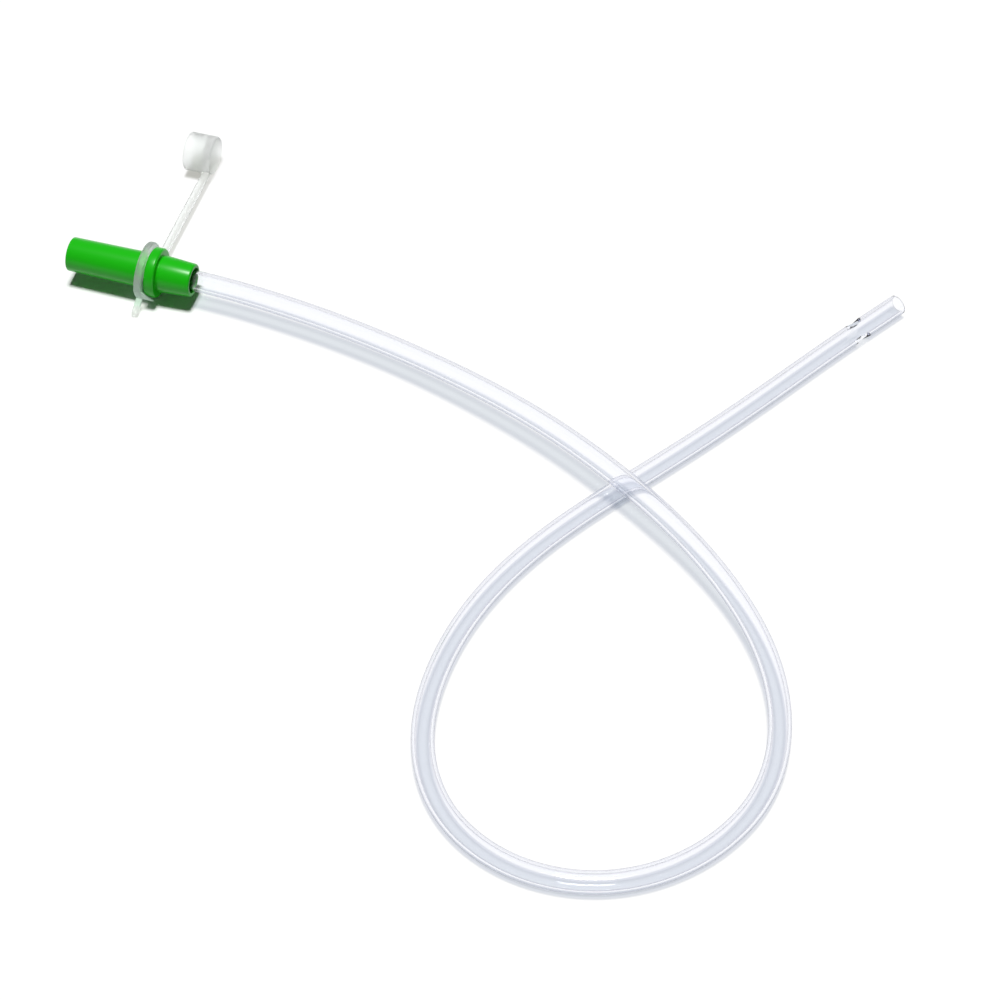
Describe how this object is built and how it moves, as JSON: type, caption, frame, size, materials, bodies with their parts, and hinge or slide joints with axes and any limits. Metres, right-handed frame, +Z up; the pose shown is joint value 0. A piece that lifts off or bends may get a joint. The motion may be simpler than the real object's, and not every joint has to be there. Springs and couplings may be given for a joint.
{
  "type": "urethral catheter",
  "caption": "Clear 14 Ch urethral catheter with two eyes at its open tip, a green funnel connector and a cap tethered to it by a strap, lying in a loose loop.",
  "frame": {"origin": "on the table, under the middle of the box round the connector and its tethered cap", "axes": "+X along the connector from its mouth to its tube, +Y along the strap from the connector to the cap, +Z up"},
  "size_m": [0.184, 0.1736, 0.0128],
  "materials": {
    "green_plastic": "glossy, opaque",
    "clear_pvc": "clear, soft gloss, faint blue tint",
    "milky_polyethylene": "milky, translucent, soft satin"
  },
  "bodies": {
    "catheter": {"connector": "green_plastic", "tube": "clear_pvc"},
    "cap": {"tethered_cap": "milky_polyethylene"}
  },
  "joints": [
    {"name": "ring_turn", "type": "hinge", "parent": "catheter", "child": "cap", "pos_m": [0.0032, -0.01836, 0.0064], "axis": [1, 0, 0], "continuous": true}
  ]
}
